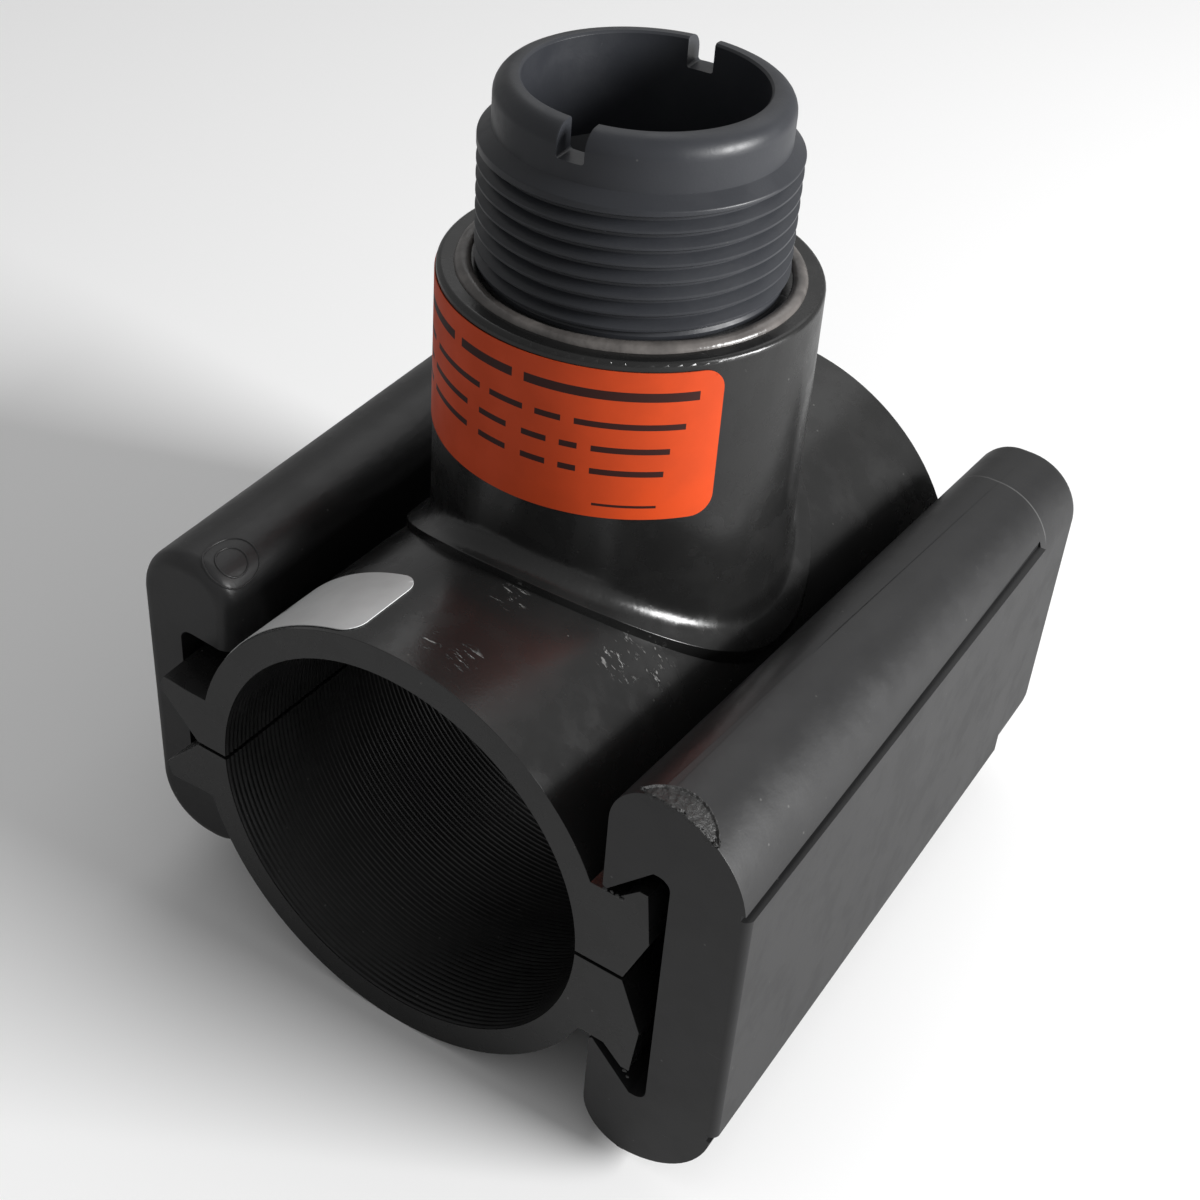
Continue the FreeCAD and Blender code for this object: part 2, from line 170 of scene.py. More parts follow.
def fade(tree, value, low, high, to_low=0.0, to_high=1.0):
    """Maps a value from one range to another, with soft ends."""
    node = tree.nodes.new("ShaderNodeMapRange")
    node.interpolation_type = "SMOOTHSTEP"
    tree.links.new(value, node.inputs["Value"])
    for name, number in (("From Min", low), ("From Max", high), ("To Min", to_low),
                         ("To Max", to_high)):
        node.inputs[name].default_value = number
    return node.outputs["Result"]


def new_group(name, inputs, outputs):
    tree = bpy.data.node_groups.new(name, "ShaderNodeTree")
    for way, sockets in (("INPUT", inputs), ("OUTPUT", outputs)):
        for label, kind in sockets:
            tree.interface.new_socket(name=label, in_out=way, socket_type="NodeSocket" + kind)
    return tree, tree.nodes.new("NodeGroupInput").outputs, tree.nodes.new("NodeGroupOutput").inputs


def moulded_skin(speck_core=0.035, speck_rim=0.07, clean_share=0.62, scratch_dull=0.6,
                 scratch_pale=0.35, scratch_depth=0.8):
    """Flow marks, grain, dust and hair scratches of moulded plastic, on a vector in millimetres."""
    tree, given, out = new_group(
        "moulded_skin", (("Vector", "Vector"), ("Scratches", "Float")),
        (("Tone", "Float"), ("Gloss Loss", "Float"), ("Dust", "Float"), ("Height", "Float")))
    place = given["Vector"]
    flow = add(tree, "TexNoise", Vector=place, Scale=0.035, Detail=5.0, Roughness=0.55,
               Distortion=0.6)
    smear = add(tree, "TexNoise", Vector=place, Scale=0.16, Detail=3.0, Roughness=0.6)
    grain = add(tree, "TexNoise", Vector=place, Scale=2.2, Detail=2.0, Roughness=0.6)
    specks = add(tree, "TexVoronoi", Vector=place, Scale=0.33, Randomness=1.0)
    speck = fade(tree, specks.outputs["Distance"], speck_core, speck_rim, 1.0, 0.0)
    pick = add(tree, "TexWhiteNoise", Vector=specks.outputs["Position"])
    picked = math_node(tree, "GREATER_THAN", pick.outputs["Value"], clean_share)
    dust = math_node(tree, "MULTIPLY", speck, picked)
    along = add(tree, "Mapping", Vector=place, Rotation=(0.3, 0.5, 0.7), Scale=(0.05, 1.4, 1.4))
    streaks = add(tree, "TexNoise", Vector=along.outputs["Vector"], Scale=0.8, Detail=6.0,
                  Roughness=0.75)
    hairs = fade(tree, streaks.outputs["Fac"], 0.66, 0.72)
    scratch = math_node(tree, "MULTIPLY", hairs, given["Scratches"])
    dull = math_node(tree, "MULTIPLY", scratch, scratch_dull)
    loss = math_node(tree, "ADD", fade(tree, smear.outputs["Fac"], 0.35, 0.7), dull)
    pale = math_node(tree, "MAXIMUM", dust, math_node(tree, "MULTIPLY", scratch, scratch_pale))
    cut_in = math_node(tree, "MULTIPLY", scratch, scratch_depth)
    tree.links.new(flow.outputs["Fac"], out["Tone"])
    tree.links.new(loss, out["Gloss Loss"])
    tree.links.new(pale, out["Dust"])
    tree.links.new(math_node(tree, "SUBTRACT", grain.outputs["Fac"], cut_in), out["Height"])
    return tree


skin_group = moulded_skin()


def millimetres(tree):
    where = add(tree, "TexCoord")
    scaled = add(tree, "Mapping", Vector=where.outputs["Object"], Scale=(1000.0, 1000.0, 1000.0))
    return scaled.outputs["Vector"]


def bumps(tree, shader, height, depth):
    """Relief on the shader's normal; a height of 1 is the depth, in metres."""
    bump = add(tree, "Bump", Strength=1.0, Distance=depth)
    tree.links.new(height, bump.inputs["Height"])
    tree.links.new(bump.outputs["Normal"], shader.inputs["Normal"])


def charcoal(name, dark, light, gloss, worn, scratches=1.0, grain=0.012, extra=None,
             dust_tone=(0.12, 0.12, 0.115), dust_cover=0.5, mark_tone=(0.24, 0.24, 0.235)):
    """Charcoal plastic between two tones; extra adds marks of one piece: (share, height in mm)."""
    material, tree, shader = new_material(name)
    vector = millimetres(tree)
    skin = tree.nodes.new("ShaderNodeGroup")
    skin.node_tree = skin_group
    tree.links.new(vector, skin.inputs["Vector"])
    skin.inputs["Scratches"].default_value = scratches
    colour = mix_colours(tree, fade(tree, skin.outputs["Tone"], 0.3, 0.7), dark, light)
    dusty = math_node(tree, "MULTIPLY", skin.outputs["Dust"], dust_cover)
    colour = mix_colours(tree, dusty, colour, dust_tone)
    height = math_node(tree, "MULTIPLY", skin.outputs["Height"], grain)
    if extra:
        mark, relief = extra(tree, vector)
        colour = mix_colours(tree, mark, colour, mark_tone)
        height = math_node(tree, "ADD", height, relief)
    roughness = fade(tree, skin.outputs["Gloss Loss"], 0.0, 1.2, gloss, worn)
    tree.links.new(colour, shader.inputs["Base Color"])
    tree.links.new(roughness, shader.inputs["Roughness"])
    bumps(tree, shader, height, MM)
    return material


def dress(piece, material):
    piece.data.materials.clear()
    piece.data.materials.append(material)


def modify(piece, kind, **settings):
    """Gives a piece a modifier with its settings, and applies it."""
    modifier = piece.modifiers.new(kind.lower(), kind)
    for name, value in settings.items():
        setattr(modifier, name, value)
    bpy.context.view_layer.objects.active = piece
    bpy.ops.object.modifier_apply(modifier=modifier.name)


CORNER = math.radians(34)


def even_shading(piece):
    """Smooth shading of curved faces that keeps the flat ones flat."""
    deselect_all()
    piece.select_set(True)
    bpy.context.view_layer.objects.active = piece
    bpy.ops.mesh.customdata_custom_splitnormals_clear()
    bpy.ops.object.shade_smooth_by_angle(angle=CORNER)
    modify(piece, "WEIGHTED_NORMAL", keep_sharp=True)


def break_edges(piece, crisp, edge):
    """Bevels the sharp outward edges, apart from those for which crisp(first, last end) is true."""
    mesh = bmesh.new()
    mesh.from_mesh(piece.data)
    weight = mesh.edges.layers.float.new("bevel_weight_edge")
    for rim in mesh.edges:
        ends = [end.co / MM for end in rim.verts]
        if len(rim.link_faces) == 2 and rim.calc_face_angle_signed() > CORNER and not crisp(*ends):
            rim[weight] = 1.0
    mesh.to_mesh(piece.data)
    mesh.free()
    modify(piece, "BEVEL", width=edge * MM, segments=2, limit_method="WEIGHT")
    even_shading(piece)


def from_node(node, name, crisp, edge=0.3, weld=0.002, flat=0.3):
    """Copies a CAD node's mesh, welds it, merges its flat facets and breaks its edges."""
    deselect_all()
    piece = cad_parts[node].copy()
    piece.data = piece.data.copy()
    piece.parent = None
    for key in list(piece.keys()):
        del piece[key]
    bpy.context.scene.collection.objects.link(piece)
    piece.name = name
    piece.select_set(True)
    bpy.context.view_layer.objects.active = piece
    bpy.ops.mesh.customdata_custom_splitnormals_clear()
    bpy.ops.object.mode_set(mode="EDIT")
    bpy.ops.mesh.select_all(action="SELECT")
    bpy.ops.mesh.remove_doubles(threshold=weld * MM)
    bpy.ops.mesh.dissolve_limited(angle_limit=math.radians(flat))
    bpy.ops.object.mode_set(mode="OBJECT")
    break_edges(piece, crisp, edge)
    return piece


def near_branch(first, last, tower=40, groove_rim=25):
    """Edges left crisp: the tower's mouth, the branch hole and the seal's groove."""
    return (max(first.z, last.z) > tower
            or all(math.hypot(end.x, end.y) < groove_rim for end in (first, last)))


def spots(tree, vector, places, core=0.4):
    """Soft round areas, each (x, y, z, radius), full within the core's share of the radius."""
    area = None
    for *centre, radius in places:
        gap = tree.nodes.new("ShaderNodeVectorMath")
        gap.operation = "DISTANCE"
        tree.links.new(vector, gap.inputs[0])
        gap.inputs[1].default_value = centre
        spot = fade(tree, gap.outputs["Value"], core * radius, radius, 1.0, 0.0)
        area = spot if area is None else math_node(tree, "MAXIMUM", area, spot)
    return area


def scrapes_and_glints(tree, vector, relief=0.25):
    """Short scrape marks beside the sticker, at the pad's foot and on the right shoulder, made
    pale: real scraped plastic with a painted glint.
    """
    beside_sticker = ((-2.2, -44.2, 34.5, 2.4), (2.1, -45.4, 34.5, 2.0), (7.2, -44.8, 33.8, 2.6))
    pad_foot = ((4.5, -31.6, 34.3, 3.0),)
    right_shoulder = ((19.0, -27.0, 28.8, 4.4), (22.6, -23.0, 26.1, 3.8))
    along = add(tree, "Mapping", Vector=vector, Rotation=(0.0, 0.0, 0.7), Scale=(0.35, 1.6, 0.6))
    flakes = add(tree, "TexNoise", Vector=along.outputs["Vector"], Scale=1.0, Detail=4.0,
                 Roughness=0.7)
    area = spots(tree, vector, beside_sticker + pad_foot + right_shoulder)
    # The marks' pale tone is partly a painted glint on the scraped plastic.
    mark = math_node(tree, "MULTIPLY", fade(tree, flakes.outputs["Fac"], 0.58, 0.63), area)
    return mark, math_node(tree, "MULTIPLY", mark, relief)


# The shell's scrape marks are pale partly as a painted glint.
shell_plastic = charcoal("shell_plastic", dark=(0.009, 0.009, 0.009), light=(0.013, 0.013, 0.0128),
                         gloss=0.23, worn=0.34, extra=scrapes_and_glints)
upper = from_node("saddle_upper", "upper_half", near_branch)
dress(upper, shell_plastic)
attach(upper, "saddle")
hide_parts("saddle_upper")
lower = from_node("saddle_lower", "lower_half", near_branch)
dress(lower, shell_plastic)
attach(lower, "saddle")
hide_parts("saddle_lower")


# Wedge bars: the same moulding twice, turned end for end, in satin charcoal plastic. They are
# pushed over the rails from opposite ends, and a mould seam crosses the right one's cap.
def off_the_ends(first, last, groove_low=20.3, groove_high=21.7):
    """Edges left crisp: all that run along a bar, and those of the grooves beside its panel."""
    along = abs(first.y - last.y) > 0.01
    groove = all(groove_low < abs(end.z) < groove_high for end in (first, last))
    return along or groove


def cut_away(piece, tool):
    """Cuts the tool's shape out of a piece, and removes the tool."""
    modify(piece, "BOOLEAN", operation="DIFFERENCE", solver="EXACT", object=tool)
    bpy.data.objects.remove(tool)


def round_panel_end(bar, x, y, radius=1.3, half=20.6):
    """Rounds the upright edge between the wide end's face and the panel."""
    deselect_all()
    bpy.ops.mesh.primitive_cylinder_add(vertices=64, radius=radius * MM, depth=3 * half * MM,
                                        location=((x - math.copysign(radius, x)) * MM,
                                                  (y - math.copysign(radius, y)) * MM, 0))
    core = bpy.context.object
    bpy.ops.mesh.primitive_cube_add(size=2 * radius * MM, location=(x * MM, y * MM, 0),
                                    scale=(1, 1, half / radius))
    corner = bpy.context.object
    cut_away(corner, core)
    cut_away(bar, corner)
    even_shading(bar)


def far_seam(tree, vector, along=45.3, half_width=0.16, low=19.0, high=22.0, share=0.25,
             relief=0.3):
    """Faint seam of the mould across the cap, short of the narrow end."""
    place = add(tree, "SeparateXYZ", Vector=vector)
    line = math_node(tree, "COMPARE", place.outputs["Y"], along, half_width)
    line = math_node(tree, "MULTIPLY", line, fade(tree, place.outputs["Z"], low, high, 0.0, share))
    return line, math_node(tree, "MULTIPLY", line, relief)


bar_look = {"dark": (0.011, 0.011, 0.0115), "light": (0.016, 0.016, 0.0165), "gloss": 0.40,
            "worn": 0.46}
bar_plastic = charcoal("bar_plastic", **bar_look)
seamed_plastic = charcoal("seamed_plastic", **bar_look, extra=far_seam)
outer_face, front_end, back_end = 53.85, -50.8, 64.8
for node, name, body, plastic, corner in (
        ("wedge_bar_right", "right_bar_moulding", "right_bar", seamed_plastic,
         (outer_face, front_end)),
        ("wedge_bar_left", "left_bar_moulding", "left_bar", bar_plastic, (-outer_face, back_end))):
    bar = from_node(node, name, off_the_ends)
    round_panel_end(bar, *corner)
    dress(bar, plastic)
    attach(bar, body)
    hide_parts(node)


# Hammer burr on the right bar: the crushed crescent at the cap's front edge where the bar was
# driven home. A thin rough skin of the bar's own plastic with a raised rim, hanging a little over
# the face.
def cap_point(across, along, lift, crown_x=39.35, crown_z=19.2, crown_radius=14.0, taper=0.06):
    """Point on the wide end's cap; across runs over the crown and down the outer round."""
    turn = max(0.0, across - crown_x) / crown_radius
    reach = crown_radius + lift
    x, z = crown_x + reach * math.sin(turn), crown_z + reach * math.cos(turn)
    return min(across, crown_x) + x - crown_x, along, z - taper * (along - front_end)


burr_middle, burr_width, arc_radius_squared, arc_chord = 43.2, 11.6, 41.0, 2.6
ridge_height, ridge_inset, ridge_width = 0.32, 0.35, 0.22
skin_lift, skin_sink, skin_slope = 0.10, 0.06, 0.3
overhang, overhang_bulge, widest_rim = 0.02, 0.12, 2.0
deselect_all()
bpy.ops.mesh.primitive_grid_add(x_subdivisions=130, y_subdivisions=60, size=MM)
burr = bpy.context.object
burr.name = "hammer_burr"
for vertex in burr.data.vertices:
    across = burr_middle + vertex.co.x / MM * burr_width
    share = vertex.co.y / MM + 0.5
    depth = math.sqrt(arc_radius_squared - (across - burr_middle) ** 2) - arc_chord
    ragged = 0.55 + 0.35 * math.sin(2.3 * across) + 0.2 * math.sin(7.1 * across)
    droop = max(0.05, ragged * min(1.0, depth))
    path = share * (droop + depth)
    near_rim = min(depth + droop - path, widest_rim)
    ridge = ridge_height * math.exp(-((near_rim - ridge_inset) / ridge_width) ** 2)
    lift = ridge + skin_lift * min(1.0, near_rim / skin_slope) - skin_sink
    if path < droop:
        x, y, z = cap_point(across, front_end, 0.0)
        y -= overhang + overhang_bulge * path / droop
        vertex.co = Vector((x, y, z - (droop - path))) * MM
    else:
        vertex.co = Vector(cap_point(across, front_end + path - droop, lift)) * MM
torn = bpy.data.textures.new("torn", "CLOUDS")
torn.noise_scale, torn.noise_depth = 0.0011, 4
modify(burr, "DISPLACE", texture=torn, strength=0.32 * MM, mid_level=0.45)
modify(burr, "SOLIDIFY", thickness=0.4 * MM, offset=-1)
bpy.ops.object.shade_smooth_by_angle(angle=math.radians(50))


def crushed(tree, vector, palest=0.08, relief=0.2):
    fibres = add(tree, "TexNoise", Vector=vector, Scale=1.6, Detail=5.0, Roughness=0.7)
    mark = fade(tree, fibres.outputs["Fac"], 0.45, 0.70, 0.0, palest)
    return mark, math_node(tree, "MULTIPLY", fibres.outputs["Fac"], relief)


dress(burr, charcoal("crushed_plastic", dark=(0.011, 0.011, 0.011), light=(0.018, 0.018, 0.0176),
                     gloss=0.42, worn=0.55, extra=crushed))
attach(burr, "right_bar")


# Crumbs: glossy specks of plastic scraped off by the right bar's lips, stuck where they touch the
# rails at the front.
crumb_places = ((33.8, -50.75, 14.1, 0.30), (34.7, -50.6, 14.05, 0.22), (35.7, -50.8, 14.1, 0.34),
                (36.3, -50.85, 14.0, 0.26), (39.3, -50.6, -17.2, 0.30), (39.9, -50.7, -17.9, 0.22))
deselect_all()
specks = []
for x, y, z, radius in crumb_places:
    bpy.ops.mesh.primitive_ico_sphere_add(subdivisions=3, radius=radius * MM,
                                          location=(x * MM, y * MM, z * MM), scale=(1.2, 0.8, 0.8))
    bpy.ops.object.transform_apply(location=True, scale=True)
    specks.append(bpy.context.object)
for speck in specks:
    speck.select_set(True)
bpy.ops.object.join()
crumbs = bpy.context.object
crumbs.name = "lip_crumbs"
grit = bpy.data.textures.new("grit", "CLOUDS")
grit.noise_scale = 0.0004
modify(crumbs, "DISPLACE", texture=grit, strength=0.3 * MM)
bpy.ops.object.shade_smooth_by_angle(angle=math.radians(60))
dress(crumbs, charcoal("crumb_plastic", dark=(0.02, 0.02, 0.02), light=(0.05, 0.05, 0.05),
                       gloss=0.12, worn=0.25))
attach(crumbs, "saddle")


# Gate mark on the left bar's cap: two faint rings left by the mould, fine raised lines of the
# bar's own plastic.
def ring_on(surface, name, centre, facing, radius, wire=0.16, sides=72):
    """A thin ring laid on a curved surface round a point, half sunk into it."""
    deselect_all()
    bpy.ops.mesh.primitive_torus_add(major_radius=radius * MM, minor_radius=wire * MM,
                                     major_segments=sides, minor_segments=10,
                                     location=Vector(centre) * MM,
                                     rotation=Vector(facing).to_track_quat("Z", "Y").to_euler())
    ring = bpy.context.object
    ring.name = name
    bpy.ops.object.transform_apply(location=True, rotation=True)
    normal = Vector(facing).normalized()
    middle = Vector(centre) * MM
    for vertex in ring.data.vertices:
        flat = vertex.co - normal * (vertex.co - middle).dot(normal)
        out = (flat - middle).normalized()
        hit = surface.closest_point_on_mesh(middle + out * radius * MM)
        vertex.co += hit[1] - (middle + out * radius * MM)
    bpy.ops.object.shade_smooth()
    return ring


gate_centre, gate_facing, gate_radii = (-36.5, -40.4, 25.9), (0.5, -0.06, 0.86), (4.3, 2.4)
for number, radius in enumerate(gate_radii):
    ring = ring_on(bpy.data.objects["left_bar_moulding"], f"gate_ring_{number}", gate_centre,
                   gate_facing, radius)
    dress(ring, bar_plastic)
    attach(ring, "left_bar")


# Serrated lining of the pipe bore: fine turned rings in both halves that grip the pipe. It lies on
# the bore wall; the upper one is open at the branch hole and its seal.
def bore_rings(name, sign, crest=30.02, root=30.14, pitch=0.85, length=101.2, gap=0.35, wall=0.25,
               sides=160):
    """Half rings over the bore's length, above (sign 1) or below (sign -1) the halves' gap."""
    deselect_all()
    bpy.ops.mesh.primitive_circle_add(vertices=sides, radius=root * MM,
                                      location=(0, -length / 2 * MM, 0),
                                      rotation=(math.pi / 2, 0, 0))
    rings = bpy.context.object
    rings.name = name
    bpy.ops.object.transform_apply(location=True, rotation=True)
    bpy.ops.object.mode_set(mode="EDIT")
    bpy.ops.mesh.select_all(action="SELECT")
    flank, flat = 0.4 * pitch, 0.2 * pitch
    for radius, last, step in ((crest, root, flank), (crest, crest, flat), (root, crest, flank)):
        bpy.ops.mesh.extrude_region_move(TRANSFORM_OT_translate={"value": (0, step * MM, 0)})
        bpy.ops.transform.resize(value=(radius / last, 1, radius / last), center_override=(0, 0, 0))
    bpy.ops.mesh.select_all(action="SELECT")
    bpy.ops.mesh.bisect(plane_co=(0, 0, sign * gap * MM), plane_no=(0, 0, 1), clear_inner=sign > 0,
                        clear_outer=sign < 0)
    bpy.ops.mesh.select_all(action="SELECT")
    bpy.ops.mesh.normals_make_consistent(inside=True)
    bpy.ops.object.mode_set(mode="OBJECT")
    modify(rings, "ARRAY", use_relative_offset=False, use_constant_offset=True,
           constant_offset_displace=(0, pitch * MM, 0), count=int(length / pitch),
           use_merge_vertices=True, merge_threshold=0.001 * MM)
    modify(rings, "SOLIDIFY", thickness=wall * MM, offset=-1)
    return rings


# The bore's plastic is a little lighter than the shell's, though it is the same moulding: a painted
# fill light in the shaded bore.
bore_plastic_painted_fill = charcoal("bore_plastic_painted_fill", dark=(0.010, 0.010, 0.010), light=(0.015, 0.015, 0.015),
                        gloss=0.36, worn=0.45)
seal_rim = 24.0
for name, sign in (("upper_bore_rings", 1), ("lower_bore_rings", -1)):
    rings = bore_rings(name, sign)
    if sign > 0:
        bpy.ops.mesh.primitive_cylinder_add(vertices=96, radius=seal_rim * MM, depth=40 * MM,
                                            location=(0, 0, 30 * MM))
        cut_away(rings, bpy.context.object)
    dress(rings, bore_plastic_painted_fill)
    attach(rings, "saddle")


# Sensor fitting: a turned and milled plastic bush glued into the tower. Shank, a band and a cone
# where the thread runs out, collar with a rounded shoulder, wide mouth and two key slots.
def turned(name, rings, sides=192):
    """A lathe-turned ring: a circle is drawn out from ring to ring (radius, height) and closed."""
    deselect_all()
    bpy.ops.mesh.primitive_circle_add(vertices=sides, radius=rings[0][0] * MM,
                                      location=(0, 0, rings[0][1] * MM))
    piece = bpy.context.object
    piece.name = name
    bpy.ops.object.transform_apply(location=True)
    bpy.ops.object.mode_set(mode="EDIT")
    bpy.ops.mesh.select_all(action="SELECT")
    for (radius, height), (next_radius, next_height) in zip(rings, rings[1:] + rings[:1]):
        rise = (0, 0, (next_height - height) * MM)
        bpy.ops.mesh.extrude_region_move(TRANSFORM_OT_translate={"value": rise})
        growth = next_radius / radius
        bpy.ops.transform.resize(value=(growth, growth, 1), center_override=(0, 0, 0))
    bpy.ops.mesh.select_all(action="SELECT")
    bpy.ops.mesh.remove_doubles(threshold=0.001 * MM)
    bpy.ops.mesh.normals_make_consistent(inside=False)
    bpy.ops.object.mode_set(mode="OBJECT")
    return piece


def shoulder(radius, height, size, steps=8):
    """Quarter round of a turned edge, from the outer wall up to the top face."""
    angles = [math.pi / 2 * step / steps for step in range(steps + 1)]
    return [(radius - size + size * math.cos(angle), height - size + size * math.sin(angle))
            for angle in angles]


bore, mouth, shank, core, band, collar = 13.4, 15.6, 20.2, 19.5, 20.9, 19.1
foot, shank_top, band_foot, cone_top, top = 39.6, 69.0, 85.45, 87.55, 94.0
fitting = turned("sensor_bush", [
    (bore, foot), (shank, foot), (shank, shank_top), (core, shank_top + 1), (core, band_foot),
    (band, band_foot), (band, 86.0), (20.86, 86.12), (20.76, 86.22), (19.2, 87.45),
    (collar, cone_top), *shoulder(collar, top, 2.6), (15.9, top), (mouth, 93.7), (mouth, 80.0),
    (bore, 77.0)])
thread_pitch, thread_high, run_out, slack = 2.209, 85.9, -59, 0.01
for vertex in fitting.data.vertices:
    if abs(vertex.co.z / MM - band_foot) < slack:
        around = math.degrees(math.atan2(vertex.co.y, vertex.co.x)) - run_out
        around = (around + 180) % 360 - 180
        vertex.co.z = min(thread_high, band_foot + slack + thread_pitch * around / 360) * MM
slot_width, slot_floor, slot_height, slot_turn, slot_corner = 3.8, 89.9, 8, 5, 0.4
bpy.ops.mesh.primitive_cube_add(size=1, location=(0, 0, (slot_floor + slot_height / 2) * MM),
                                rotation=(0, 0, math.radians(slot_turn)),
                                scale=(slot_width * MM, 60 * MM, slot_height * MM))
slot_cutter = bpy.context.object
bpy.ops.object.transform_apply(location=True, rotation=True, scale=True)
modify(slot_cutter, "BEVEL", width=slot_corner * MM, segments=3)
cut_away(fitting, slot_cutter)
bpy.ops.object.mode_set(mode="EDIT")
bpy.ops.mesh.select_all(action="SELECT")
bpy.ops.mesh.remove_doubles(threshold=0.02 * MM)
bpy.ops.object.mode_set(mode="OBJECT")
break_edges(fitting, lambda first, last: min(first.z, last.z) < slot_floor - 0.9, edge=0.15)
bush_plastic = charcoal("bush_plastic", dark=(0.024, 0.0255, 0.030), light=(0.031, 0.033, 0.038),
                        gloss=0.34, worn=0.46, scratches=0.6)
bush_plastic.node_tree.nodes["Principled BSDF"].inputs["Specular IOR Level"].default_value = 0.36
dress(fitting, bush_plastic)
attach(fitting, "saddle")
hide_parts("sensor_fitting")


# Pipe thread of the fitting: V grooves between narrow flat crests at 11.5 turns to the inch, cut on
# a lathe from the collar's band down into the tower's mouth.
def pipe_thread(name, pitch, high, low=69.2, crest=20.88, depth=1.28, lift=0.05, wall=0.35,
                steps=144):
    deselect_all()
    bpy.ops.mesh.primitive_plane_add(size=MM)
    thread = bpy.context.object
    thread.name = name
    bpy.ops.object.mode_set(mode="EDIT")
    bpy.ops.mesh.select_all(action="SELECT")
    bpy.ops.mesh.merge(type="CENTER")
    bpy.ops.transform.translate(value=((crest - depth) * MM, 0, (low - pitch + lift) * MM))
    root_flat, low_flank, low_round, crest_flat, high_round = 0.40, 0.50, 0.18, 0.30, 0.08
    high_flank = pitch - (root_flat + low_flank + low_round + crest_flat + high_round)
    for out, up in ((0, root_flat), (depth - low_round, low_flank), (low_round, low_round),
                    (0, crest_flat), (-high_round, high_round), (high_round - depth, high_flank)):
        bpy.ops.mesh.extrude_region_move(TRANSFORM_OT_translate={"value": (out * MM, 0, up * MM)})
    bpy.ops.object.mode_set(mode="OBJECT")
    modify(thread, "SCREW", angle=2 * math.pi, screw_offset=pitch * MM,
           iterations=int((high - low) / pitch) + 3, steps=steps, render_steps=steps,
           use_merge_vertices=True, merge_threshold=0.001 * MM, use_smooth_shade=False)
    bpy.ops.object.mode_set(mode="EDIT")
    for height, low_side in ((low, True), (high, False)):
        bpy.ops.mesh.select_all(action="SELECT")
        bpy.ops.mesh.bisect(plane_co=(0, 0, height * MM), plane_no=(0, 0, 1), clear_inner=low_side,
                            clear_outer=not low_side)
    bpy.ops.mesh.select_all(action="SELECT")
    bpy.ops.mesh.remove_doubles(threshold=0.002 * MM)
    bpy.ops.mesh.normals_make_consistent(inside=True)
    bpy.ops.object.mode_set(mode="OBJECT")
    modify(thread, "SOLIDIFY", thickness=wall * MM, offset=-1)
    bpy.ops.object.shade_smooth_by_angle(angle=CORNER)
    return thread


thread = pipe_thread("fitting_thread", thread_pitch, thread_high)
dress(thread, bush_plastic)
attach(thread, "saddle")


# Solvent cement: a ring of it was squeezed out between tower and fitting and set glossy and
# uneven, grey brown, lapping onto the tower's rim.
bead_radius, bead_wire, bead_height, bead_squash = 22.3, 1.15, 68.4, 0.8
deselect_all()
bpy.ops.mesh.primitive_torus_add(major_radius=bead_radius * MM, minor_radius=bead_wire * MM,
                                 major_segments=260, minor_segments=24,
                                 location=(0, 0, bead_height * MM))
bead = bpy.context.object
bead.name = "cement_ring"
bead.scale.z = bead_squash
bpy.ops.object.transform_apply(location=True, scale=True)
lumps = bpy.data.textures.new("cement_lumps", "CLOUDS")
lumps.noise_scale, lumps.noise_depth = 0.016, 2
modify(bead, "DISPLACE", texture=lumps, strength=0.55 * MM, mid_level=0.5)
bpy.ops.object.mode_set(mode="EDIT")
bpy.ops.mesh.select_all(action="SELECT")
bpy.ops.mesh.bisect(plane_co=(0, 0, bead_height * MM), plane_no=(0, 0, 1), clear_inner=True,
                    use_fill=True)
bpy.ops.object.mode_set(mode="OBJECT")
bpy.ops.object.shade_smooth_by_angle(angle=math.radians(60))
cement, tree, shader = new_material("set_cement")
vector = millimetres(tree)
cloud = add(tree, "TexNoise", Vector=vector, Scale=0.25, Detail=4.0)
tone = mix_colours(tree, fade(tree, cloud.outputs["Fac"], 0.35, 0.65), (0.085, 0.078, 0.074),
                   (0.135, 0.124, 0.117))
tree.links.new(tone, shader.inputs["Base Color"])
fine = add(tree, "TexNoise", Vector=vector, Scale=0.9, Detail=2.0)
bumps(tree, shader, fine.outputs["Fac"], 0.08 * MM)
shader.inputs["Roughness"].default_value = 0.25
dress(bead, cement)
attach(bead, "saddle")
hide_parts("cement_bead")


# Seal: a flat black rubber ring, moulded and pressed into the groove round the branch hole in the
# upper half. It is seen only through the bore.
rubber, tree, shader = new_material("seal_rubber")
bloom = add(tree, "TexNoise", Vector=millimetres(tree), Scale=0.4, Detail=5.0)
tone = mix_colours(tree, fade(tree, bloom.outputs["Fac"], 0.35, 0.7), (0.010, 0.010, 0.010),
                   (0.022, 0.021, 0.020))
tree.links.new(tone, shader.inputs["Base Color"])
dull = fade(tree, bloom.outputs["Fac"], 0.3, 0.7, 0.55, 0.75)
tree.links.new(dull, shader.inputs["Roughness"])
dress(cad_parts["branch_seal"], rubber)


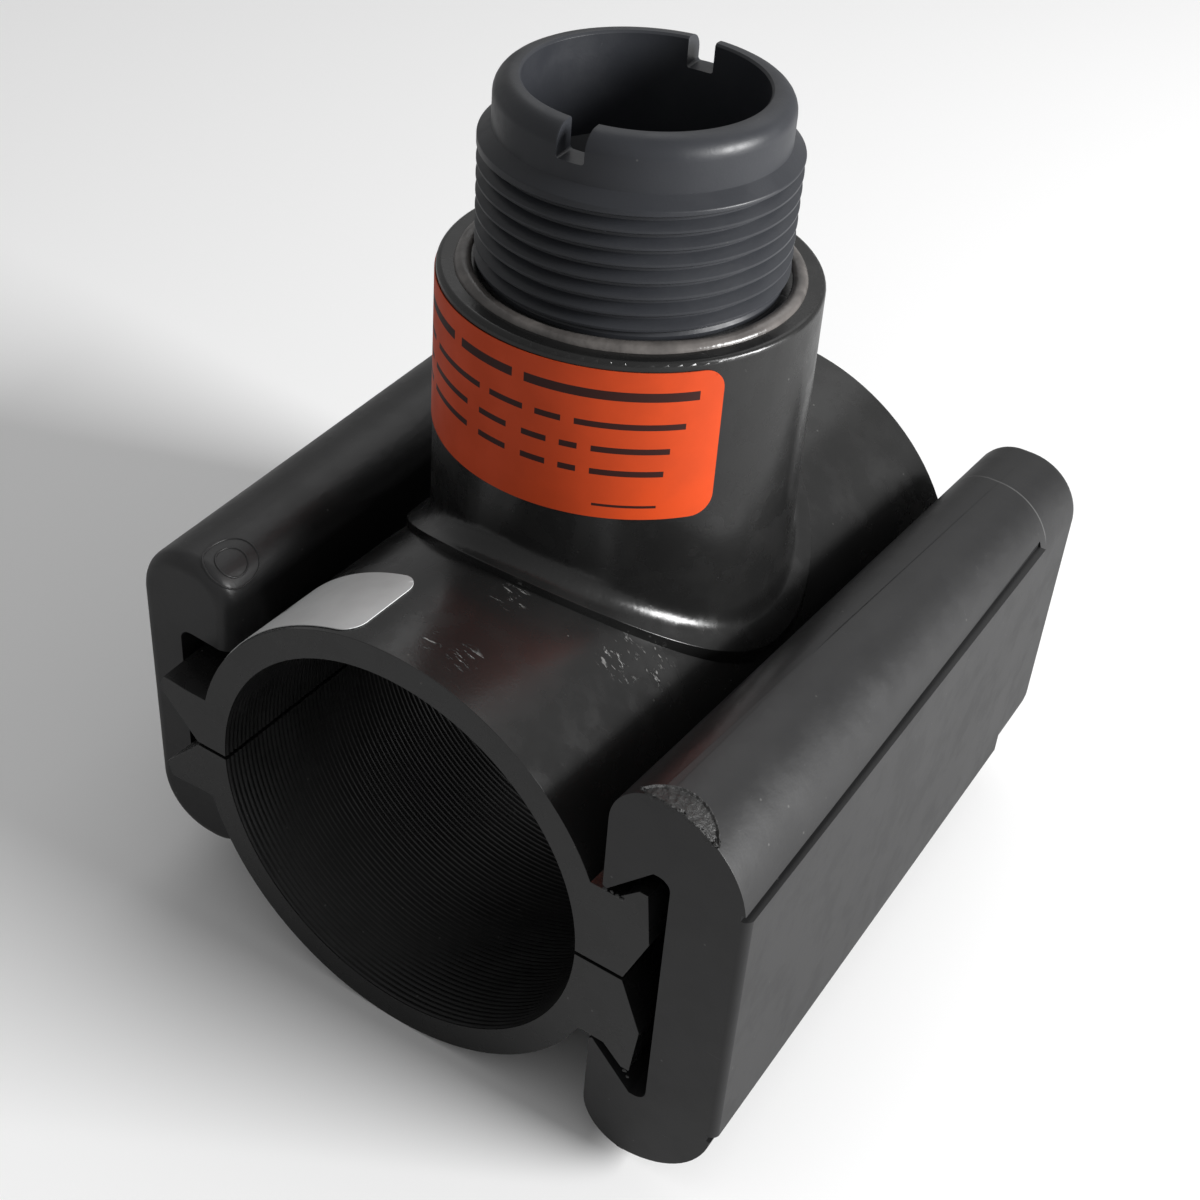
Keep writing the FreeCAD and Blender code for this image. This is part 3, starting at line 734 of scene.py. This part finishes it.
# Labels: printed film with rounded corners, stuck round the tower and on the shell's shoulder. The
# orange one has plain dark bars for its lines, the silver one a strip of specks.
def film(name, width, height, wrap, corner=3.0, thickness=0.12, lift=0.05, cells=0.5):
    """Flat sheet with rounded corners, laid on a curved wall by wrap(x, y, lift) in millimetres."""
    deselect_all()
    bpy.ops.mesh.primitive_grid_add(x_subdivisions=int(width / cells),
                                    y_subdivisions=int(height / cells), size=MM, calc_uvs=True)
    sheet = bpy.context.object
    sheet.name = name
    for vertex in sheet.data.vertices:
        x, y = vertex.co.x / MM * width, vertex.co.y / MM * height
        over_x, over_y = abs(x) - (width / 2 - corner), abs(y) - (height / 2 - corner)
        if over_x > 0 and over_y > 0 and math.hypot(over_x, over_y) > corner:
            shrink = corner / math.hypot(over_x, over_y)
            x = math.copysign(width / 2 - corner + over_x * shrink, x)
            y = math.copysign(height / 2 - corner + over_y * shrink, y)
        vertex.co = Vector(wrap(x, y, lift)) * MM
    modify(sheet, "SOLIDIFY", thickness=thickness * MM, offset=1)
    bpy.ops.object.shade_smooth_by_angle(angle=math.radians(40))
    return sheet


def round_tower(x, y, lift, middle=56.4, radius=25.8, draft=0.7, top=68.5, bend=25.9, facing=-95):
    height = middle + y
    reach = radius + draft * (1 - height / top) + lift
    angle = math.radians(facing) + x / bend
    return reach * math.cos(angle), reach * math.sin(angle), height


def on_shell(x, y, lift, radius=34.55, facing=132, front=-50.0, inset=7.25):
    angle = math.radians(facing) - x / radius
    reach = radius + lift
    return reach * math.cos(angle), front + inset + y, reach * math.sin(angle)


def printed_film(name, ground, ink, fields, gloss, speckled=False, cloudy=0.86, rubbed=0.12,
                 shine=0.3):
    """Film in one colour with plain dark bars, or with dark specks, in fields (x0, x1, y0, y1)
    that are shares of the label."""
    material, tree, shader = new_material(name)
    place = add(tree, "SeparateXYZ", Vector=add(tree, "TexCoord").outputs["UV"])
    mask = None
    for x0, x1, y0, y1 in fields:
        wide = math_node(tree, "COMPARE", place.outputs["X"], (x0 + x1) / 2, (x1 - x0) / 2)
        high = math_node(tree, "COMPARE", place.outputs["Y"], (y0 + y1) / 2, (y1 - y0) / 2)
        field = math_node(tree, "MULTIPLY", wide, high)
        mask = field if mask is None else math_node(tree, "MAXIMUM", mask, field)
    if speckled:
        along = add(tree, "Mapping", Vector=millimetres(tree), Rotation=(0.4, 0.3, 0.6),
                    Scale=(1.6, 0.5, 0.7))
        specks = add(tree, "TexNoise", Vector=along.outputs["Vector"], Scale=1.1, Detail=3.0,
                     Roughness=0.7)
        worn_print = fade(tree, specks.outputs["Fac"], 0.47, 0.58, 0.0, 0.85)
        mask = math_node(tree, "MULTIPLY", mask, worn_print)
    cloud = add(tree, "TexNoise", Vector=millimetres(tree), Scale=0.12, Detail=4.0)
    soiled = tuple(part * cloudy for part in ground)
    paper = mix_colours(tree, fade(tree, cloud.outputs["Fac"], 0.3, 0.7), ground, soiled)
    tree.links.new(mix_colours(tree, mask, paper, ink), shader.inputs["Base Color"])
    roughness = fade(tree, cloud.outputs["Fac"], 0.3, 0.7, gloss, gloss + rubbed)
    tree.links.new(roughness, shader.inputs["Roughness"])
    shader.inputs["Specular IOR Level"].default_value = shine
    return material


label = film("orange_label", 58.8, 21.6, round_tower)
lines = ((0.84, 0.030, ((0.06, 0.34), (0.37, 0.53), (0.56, 0.945))),
         (0.64, 0.020, ((0.10, 0.22), (0.25, 0.44), (0.47, 0.56), (0.59, 0.65), (0.68, 0.92))),
         (0.475, 0.020, ((0.10, 0.20), (0.23, 0.40), (0.44, 0.52), (0.56, 0.62), (0.65, 0.69),
                         (0.72, 0.89))),
         (0.32, 0.020, ((0.10, 0.20), (0.23, 0.40), (0.44, 0.52), (0.56, 0.62), (0.65, 0.69),
                        (0.72, 0.88))),
         (0.09, 0.009, ((0.73, 0.87),)))
bars = [(x0, x1, middle - half, middle + half) for middle, half, words in lines for x0, x1 in words]
dress(label, printed_film("orange_film", ground=(0.60, 0.060, 0.008), ink=(0.030, 0.006, 0.004),
                          fields=bars, gloss=0.50))
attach(label, "saddle")
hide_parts("instruction_label")
sticker = film("silver_sticker", 37.0, 14.4, on_shell)
strips = ((0.03, 0.26, 0.05, 0.95), (0.40, 0.47, 0.42, 0.62))
dress(sticker, printed_film("silver_film", ground=(0.66, 0.67, 0.67), ink=(0.06, 0.06, 0.06),
                            fields=strips, gloss=0.3, speckled=True))
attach(sticker, "saddle")
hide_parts("size_sticker")
